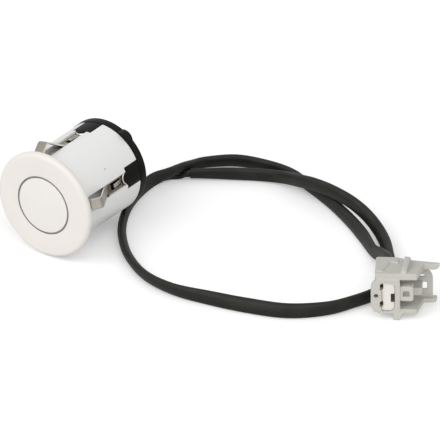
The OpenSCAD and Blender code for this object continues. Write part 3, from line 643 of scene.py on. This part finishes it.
key_rib = stud(
    radius=0.0024, depth=0.00228, place=on_sensor(10.3, 25.45, math.radians(-58.5)),
    lie=(math.pi / 2, 0, 0), sides=48, at_end=lambda corner: corner.y > face_y + 0.0262,
    rounding=0.0003, segments=3)
stakes = []
for turn in slot_turns:
    crown = on_sensor(11.67, stake_station, turn)
    stakes.append(stud(
        radius=0.0014, depth=0.0006, place=on_sensor(11.37, stake_station, turn),
        lie=(0, math.pi / 2 + turn, 0), sides=32,
        at_end=lambda corner: (corner - crown).length < 0.0015, rounding=0.00032, segments=4))
choose(body, tongues, front_pads, rear_pads, key_rib, *stakes)
bpy.ops.object.join()
black_plastic = grained(
    "black_plastic", tone=(0.006, 0.006, 0.005), mottle=(0.01, 0.01, 0.0085), roughness=0.4,
    gloss=0.08, grain=3600, broad=260, relief=0.00001)
body.data.materials.append(black_plastic)
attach(body, "root")
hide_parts("sensor_body")

# Four spring clips, bent from stainless strip, grip the edge of the bumper hole. Each lies flat in
# its slot, rises to a shoulder near the flange, and has a window with a tab lanced out of it.
clip_thick, clip_half, window_half, tab_half = 0.0004, 1.45, 0.95, 0.5
window_front, tab_tip, tab_bend, window_back = 13.5, 14.4, 16, 17.5
tip_lift, bend_lift, slack = 0.00042, 0.0002, 0.05
clip_seat = 10.85
clip_columns = (-clip_half, -window_half, -tab_half, tab_half, window_half, clip_half)
clip_corners = ((clip_seat, 21.2), (clip_seat, 11.7), (14.5, 5.5), (12.7, 3.3))


def bent(before, corner, after, reach):
    """The soft bend of the strip at a corner of its line, from reach before it to reach past it."""
    before, corner, after = Vector(before), Vector(corner), Vector(after)
    start = corner + (before - corner).normalized() * reach
    end = corner + (after - corner).normalized() * reach
    return [tuple(start.lerp(corner, t).lerp(corner.lerp(end, t), t)) for t in (0, 0.25, 0.5, 0.75, 1)]


clip_rows = (
    [clip_corners[0]]
    + [(clip_seat, station) for station in (window_back, tab_bend, tab_tip, window_front)]
    + bent(*clip_corners[:3], reach=0.8) + bent(*clip_corners[1:], reach=0.7) + [clip_corners[3]])


def clip_point(across, radius, station):
    """A point of the clip in the first slot, from its place across the strip."""
    out = slot_turns[0]
    return on_sensor(radius, station, out) + Vector((math.sin(out), 0, math.cos(out))) * across * mm


def across_clip(point):
    """How far a point is from the middle line of the first clip, in millimetres."""
    return abs((point - on_sensor(0, 0)).dot(clip_point(1000, 0, 0) - clip_point(0, 0, 0))) * 1000


clip = drawn("spring_strip", [clip_point(across, *clip_rows[0]) for across in clip_columns])
for here, there in zip(clip_rows, clip_rows[1:]):
    bpy.ops.mesh.extrude_region_move(TRANSFORM_OT_translate={
        "value": clip_point(0, *there) - clip_point(0, *here)})
bpy.ops.object.mode_set(mode="OBJECT")


def in_window(face):
    """Whether a face of the strip lies where the window is punched, round the tab."""
    across = across_clip(face.center)
    station = (face.center.y - face_y) * 1000
    beside_tab = tab_half < across < window_half
    before_tab = across < tab_half and station < tab_tip
    return window_front < station < window_back and (beside_tab or before_tab)


pick(clip, "FACE", in_window)
bpy.ops.mesh.delete(type="FACE")
bpy.ops.object.mode_set(mode="OBJECT")
outward = (on_sensor(1, 0, slot_turns[0]) - on_sensor(0, 0)).normalized()
for corner in clip.data.vertices:
    station = (corner.co.y - face_y) * 1000
    if across_clip(corner.co) < tab_half + slack and tab_tip - slack < station < tab_bend + slack:
        corner.co += outward * (tip_lift if station < tab_bend - slack else bend_lift)
spring_steel = metal(
    "spring_steel", bright=(0.52, 0.485, 0.42), dull=(0.4, 0.365, 0.31), roughness=0.34, fineness=4200)
steel_painted_shade, steel_upper_shade, steel_painted_shadow = (0.115, 0.09, 0.068), (0.27, 0.25, 0.205), (0.014, 0.012, 0.01)
_, parts, radius = place_on(spring_steel)
flat_part = ranged(spring_steel, radius, start=0.01108, end=0.01124, low=0.8, high=0.0)
sideways = ranged(spring_steel, parts["X"], start=0.004, end=0.009)
upward = ranged(spring_steel, parts["Z"], start=0.0225, end=0.0245, high=0.75)
behind_window = ranged(
    spring_steel, parts["Y"], start=on_sensor(0, 17.2).y, end=on_sensor(0, 17.6).y)
# Painted shade: the flat part of the right clip is darkened to brown, standing in for the dark
# surroundings it reflects.
right_flat_shade = product(spring_steel, flat_part, sideways)
overlaid(spring_steel, right_flat_shade, steel_painted_shade)
# Painted shade: the clip highest on the sensor is coloured a darker steel than the others.
overlaid(spring_steel, upward, steel_upper_shade)
# Painted shadow: behind the window, towards the stake, the right clip's flat part is made near black.
overlaid(spring_steel, product(spring_steel, right_flat_shade, behind_window), steel_painted_shadow)
# The strip's cut edges and the lip at the stake get a brighter steel: partly bare sheared metal, partly
# a painted highlight along the edges.
cut_edge_and_highlight = metal(
    "sheared_edge_and_highlight", bright=(0.82, 0.8, 0.75), dull=(0.66, 0.63, 0.58), roughness=0.3, fineness=5200)
clip.data.materials.append(spring_steel)
clip.data.materials.append(cut_edge_and_highlight)
wall = clip.modifiers.new("strip_thickness", "SOLIDIFY")
wall.thickness = clip_thick
wall.offset = 0
wall.material_offset_rim = 1
bpy.ops.object.modifier_apply(modifier=wall.name)
eased(clip, width=0.00006)
lip_bend, lip_thick, lip_seat = 1.6, 0.00044, 11.15
lip_line = [
    clip_point(lip_bend * math.sin(t), lip_seat, stake_station - lip_bend * math.cos(t))
    for t in (-1.25 + 0.125 * k for k in range(21))]
lip = swept_cord("stake_lip", lip_line, lambda i: (lip_thick / 2, lip_thick / 2, 0), sides=10)
lip.data.materials.append(cut_edge_and_highlight)
choose(clip, lip)
bpy.ops.object.join()
clips = [clip]
for turn in slot_turns[1:]:
    other = clip.copy()
    other.data = clip.data.copy()
    other.data.transform(
        Matrix.Translation(on_sensor(0, 0)) @ Matrix.Rotation(turn - slot_turns[0], 4, "Y")
        @ Matrix.Translation(-on_sensor(0, 0)))
    bpy.context.collection.objects.link(other)
    clips.append(other)
sprung_out, sprung_forward = 0.0005, 0.00065
upper_way = (on_sensor(1, 0, slot_turns[3]) - on_sensor(0, 0)).normalized()
sprung = upper_way * sprung_out - Vector((0, sprung_forward, 0))
rise_from, shoulder = clip_corners[1][1], clip_corners[2][1]
for corner in clips[3].data.vertices:
    station = (corner.co.y - face_y) * 1000
    corner.co += sprung * min(max((rise_from - station) / (rise_from - shoulder), 0), 1)
for piece, side in zip(clips, ("right", "lower", "left", "upper")):
    piece.name = "spring_strip_" + side
    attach(piece, "root")
    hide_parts("spring_clip_" + side)

# Black casting compound closes the rear of the body. It was poured round a soft grommet, which
# carries the two wires out, and it creeps up a little at the walls.
compound = turned("cast_compound", (
    (2.75, 18.8, 0), (2.75, 25.6, 0), (3.1, 25.45, 0.3), (4.2, 25.38, 0), (7.8, 25.38, 0),
    (8.7, 25.45, 0.3), (9, 25.65, 0), (9, 18.8, 0)))
compound.data.materials.append(grained(
    "casting_compound", tone=(0.012, 0.012, 0.012), mottle=(0.02, 0.02, 0.02), roughness=0.3,
    gloss=0.4, grain=500, broad=180, relief=0.00005))
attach(compound, "root")
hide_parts("sealing_compound")
grommet = turned("wire_grommet", (
    (0, 21.4, 0), (2.8, 21.4, 0), (2.8, 26.2, 0.2), (2.45, 26.5, 0.1), (2.45, 26.9, 0.1),
    (2.6, 27.2, 0.1), (2.3, 28.2, 0.1), (2.3, 28.6, 0.1), (2.4, 28.8, 0.1), (2.1, 30, 0.4),
    (0, 30, 0)), steps=64)
grommet.data.materials.append(grained(
    "soft_black_rubber", tone=(0.014, 0.014, 0.013), mottle=(0.022, 0.022, 0.021), roughness=0.55,
    gloss=0.2, grain=2600, broad=300, relief=0.00002))
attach(grommet, "root")
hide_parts("cable_grommet")
dress(insulation, "inner_wire_left", "inner_wire_right")

# The plug housing is one grey plastic moulding: a round-cornered hood, plates above and below with
# guide ribs, guard bars that reach out at the back, and a lock arm between them.
plug_place = Vector((0.0874, 0.0119, 0))
plug_turn = math.radians(34)


def in_plug(point):
    """A point of the plug in millimetres: across to the lock's side, back from the face, and up."""
    return Matrix.Rotation(-plug_turn, 3, "Z") @ (point - plug_place) * 1000


def from_plug(across, back, up):
    """The same the other way: a point of the scene from its place in the plug."""
    return plug_place + Matrix.Rotation(plug_turn, 3, "Z") @ Vector((across, back, up)) * mm


def prism(name, outline, along):
    """A block: its outline is drawn point by point, filled, and drawn out along one direction."""
    piece = drawn(name, outline + outline[:1])
    bpy.ops.mesh.remove_doubles(threshold=1e-6)
    bpy.ops.mesh.select_all(action="SELECT")
    bpy.ops.mesh.edge_face_add()
    bpy.ops.mesh.extrude_region_move(TRANSFORM_OT_translate={"value": along})
    bpy.ops.mesh.select_all(action="SELECT")
    bpy.ops.mesh.normals_make_consistent(inside=False)
    bpy.ops.object.mode_set(mode="OBJECT")
    return piece


def plug_block(name, outline, back, deep):
    """A block of the plug, from an outline on its face, how far back it starts and how deep it is."""
    return prism(
        name, [from_plug(across, back, up) for across, up in outline],
        from_plug(0, deep, 0) - from_plug(0, 0, 0))


def moulded_copy(node, name):
    """A copy of a CAD node's mesh with its loose triangles merged."""
    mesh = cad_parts[node].data.copy()
    mesh.materials.clear()
    piece = bpy.data.objects.new(name, mesh)
    bpy.context.collection.objects.link(piece)
    choose(piece)
    bpy.ops.object.mode_set(mode="EDIT")
    bpy.ops.mesh.select_all(action="SELECT")
    bpy.ops.mesh.remove_doubles(threshold=2e-6)
    bpy.ops.object.mode_set(mode="OBJECT")
    return piece


def rounded_over(piece, grid, passes, keep):
    """Rebuilds a moulding on a fine grid, smooths it so that its edges are round, and thins it out."""
    choose(piece)
    rebuilt = piece.modifiers.new("rebuilt", "REMESH")
    rebuilt.mode = "VOXEL"
    rebuilt.voxel_size = grid
    smooth = piece.modifiers.new("rounded", "SMOOTH")
    smooth.factor = 0.5
    smooth.iterations = passes
    fewer = piece.modifiers.new("fewer", "DECIMATE")
    fewer.ratio = keep
    for change in ("rebuilt", "rounded", "fewer"):
        bpy.ops.object.modifier_apply(modifier=change)
    bpy.ops.object.shade_smooth()


hood_right, face_right, face_down = 0.35, 0.2, 0.28
low_edge_down, high_edge_up = 0.2, 0.14
openings_left, openings_right, openings_low, openings_high, openings_deep = -5.2, 0.05, 2.6, 10.65, 3.8
hood_side, hood_low, hood_high, hood_deep = 1.2, 1.95, 11.35, 3.1
bar_from, bar_low, bar_longer, bar_forward = 7.2, 11.2, 0.09, 0.16


def settled(across, back, up):
    """A point of the openings in the plug's face, moved a little to the right and down."""
    up_by = -face_down - (low_edge_down if up < 3.6 else 0) + (high_edge_up if up > 9.8 else 0)
    return from_plug(across + face_right, back, up + up_by)


housing = moulded_copy("plug_housing", "grey_plug")
for corner in housing.data.vertices:
    across, back, up = in_plug(corner.co)
    level_with_openings = openings_left < across < openings_right and openings_low < up < openings_high
    if level_with_openings and back < openings_deep:
        corner.co = settled(across, back, up)
    elif across < hood_side and hood_low < up < hood_high and back < hood_deep:
        corner.co = from_plug(across + hood_right, back, up)
    elif up > bar_low and across > bar_from:
        out = across - bar_from
        corner.co = from_plug(across + bar_longer * out, back - bar_forward * out, up)
fin_left, fin_front, fin_lean, fin_thick, fin_skew = 1.45, 0.3, 0.17, 1.45, -0.2
fin_side = (
    (0, 13), (0.5, 13.7), (1.3, 14.2), (2.6, 14.5), (4.4, 14.72), (5.2, 14.75), (5.8, 14.6),
    (6.1, 14.2), (6.2, 13))
fin = prism(
    "top_fin", [from_plug(fin_left + fin_lean * back, fin_front + back, up) for back, up in fin_side],
    from_plug(fin_thick, fin_skew, 0) - from_plug(0, 0, 0))
eased(fin, width=0.00045, segments=4, angle=30)
web_outline = ((6.2, 9.2), (7.2, 9.2), (7.2, 8.5), (7.9, 8.5), (7.9, 11.5), (6.2, 11.5))
web = plug_block("strip_web", web_outline, back=6.7, deep=0.75)
choose(housing, fin, web)
bpy.ops.object.join()
rounded_over(housing, grid=0.00012, passes=0, keep=0.25)
strip_arch = (
    (8.2, 10.9), (8.2, 10.3), (8.5, 10.05), (8.8, 9.65), (8.98, 9.2), (9.05, 8.7), (9.7, 8.7),
    (9.7, 10.9))
wing_tip = (
    (9.6, 11), (9.7, 11.38), (10.2, 11.5), (10.6, 11.8), (10.82, 12.3), (10.92, 12.9), (11.4, 12.9),
    (11.4, 11))
bar_tip = (
    (9.4, 1.5), (9.5, 1.88), (9.85, 2), (10.1, 2.25), (10.25, 2.65), (10.32, 3.1), (10.8, 3.1),
    (10.8, 1.5))
for outline in (strip_arch, wing_tip, bar_tip):
    combine(housing, plug_block("round_end", outline, back=3, deep=9), "DIFFERENCE")
lip_low, lip_tall, cut_start = 8.2, 4, -0.5
lip_from_above = ((-6.6, 1.1), (-4.8, 1.1), (-4.8, 3.3), (-6.6, 3.3))
combine(housing, prism(
    "lip_back", [from_plug(across, back, lip_low) for across, back in lip_from_above],
    from_plug(0, 0, lip_tall) - from_plug(0, 0, 0)), "DIFFERENCE")
hole_across, hole_up, hole_half_wide, hole_half_tall = -4.45, 6.72, 0.58, 0.55
guide_hole = [
    (hole_across + hole_half_wide * math.cos(t), hole_up + hole_half_tall * math.sin(t))
    for t in (math.pi * k / 10 for k in range(20))]
lock_pocket = ((2.1, 6.55), (3.75, 6.55), (3.75, 7.75), (2.1, 7.75))
combine(housing, plug_block("guide_hole", guide_hole, back=cut_start, deep=3.2), "DIFFERENCE")
combine(housing, plug_block("lock_pocket", lock_pocket, back=cut_start, deep=1.9), "DIFFERENCE")
rounded_over(housing, grid=0.00009, passes=6, keep=0.4)
plug_grey = grained(
    "grey_plastic", tone=(0.56, 0.55, 0.5), mottle=(0.51, 0.5, 0.455), roughness=0.5,
    gloss=0.35, grain=3600, broad=240, relief=0.00001)
# Painted light and shade: faces turned up are darkened and faces turned to the front are lightened, by
# the way they face.
facing = plug_grey.node_tree.nodes.new("ShaderNodeNewGeometry").outputs["Normal"]
painted_shade_top, painted_light_front = (0.43, 0.425, 0.395), (0.69, 0.675, 0.61)
for direction, shade in (
        (Vector((0, 0, 1)), painted_shade_top), (from_plug(0, -1000, 0) - plug_place, painted_light_front)):
    towards = reckoned(plug_grey, facing, "DOT_PRODUCT", direction)
    overlaid(plug_grey, ranged(plug_grey, towards, start=0.6, end=0.98, high=0.5), shade)
housing.data.materials.append(plug_grey)
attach(housing, "root")
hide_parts("plug_housing")

# The terminal holder is a white plastic insert, straight on one side and round on the other. It is
# snapped into the hood from the front and locks both terminals.
holder = moulded_copy("terminal_holder", "white_holder")
for corner in holder.data.vertices:
    corner.co = settled(*in_plug(corner.co))
slot_left, slot_right, slot_half_tall = -3.45, -2.7, 0.75
recess_left, recess_low, recess_high, recess_front = -0.9, 4.7, 7.35, 0.68
for level in (4.32, 9.12):
    low, high = level - slot_half_tall, level + slot_half_tall
    blade_slot = ((slot_left, low), (slot_right, low), (slot_right, high), (slot_left, high))
    combine(holder, plug_block("blade_slot", blade_slot, back=cut_start, deep=3), "DIFFERENCE")
rounded_over(holder, grid=0.00008, passes=4, keep=0.4)
holder.data.materials.append(grained(
    "white_insert_plastic", tone=(0.87, 0.84, 0.79), mottle=(0.84, 0.81, 0.76), roughness=0.42,
    gloss=0.4, grain=4200, broad=260, relief=0.000008))
# Painted shade: the faces at the back of the recess on the right of the holder are coloured dark brown,
# where shade falls into it.
holder.data.materials.append(grained(
    "brown_recess_shade", tone=(0.36, 0.285, 0.21), mottle=(0.29, 0.23, 0.165), roughness=0.5,
    gloss=0.3, grain=3600, broad=400, relief=0.00001))
for face in holder.data.polygons:
    across, back, up = in_plug(face.center)
    if across > recess_left and recess_low < up < recess_high and back > recess_front:
        face.material_index = 1
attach(holder, "root")
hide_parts("terminal_holder")

# Two plated terminals sit behind the holder, crimped to the ends of the wires. A soft seal on each
# wire closes the back of the housing, and the wires' ends run from the seals into the tube.
# The terminals are coloured much darker than bare tin: painted shade for the depth of the slots they
# sit in.
dress(metal(
    "tin_in_painted_shade", bright=(0.11, 0.1, 0.085), dull=(0.07, 0.063, 0.052), roughness=0.45,
    fineness=5000), "terminal_upper", "terminal_lower")
dress(grained(
    "seal_silicone", tone=(0.4, 0.17, 0.06), mottle=(0.46, 0.22, 0.09), roughness=0.5,
    gloss=0.35, grain=3000, broad=400, relief=0.00002), "wire_seal_upper", "wire_seal_lower")
dress(insulation, "wire_tail_upper", "wire_tail_lower")
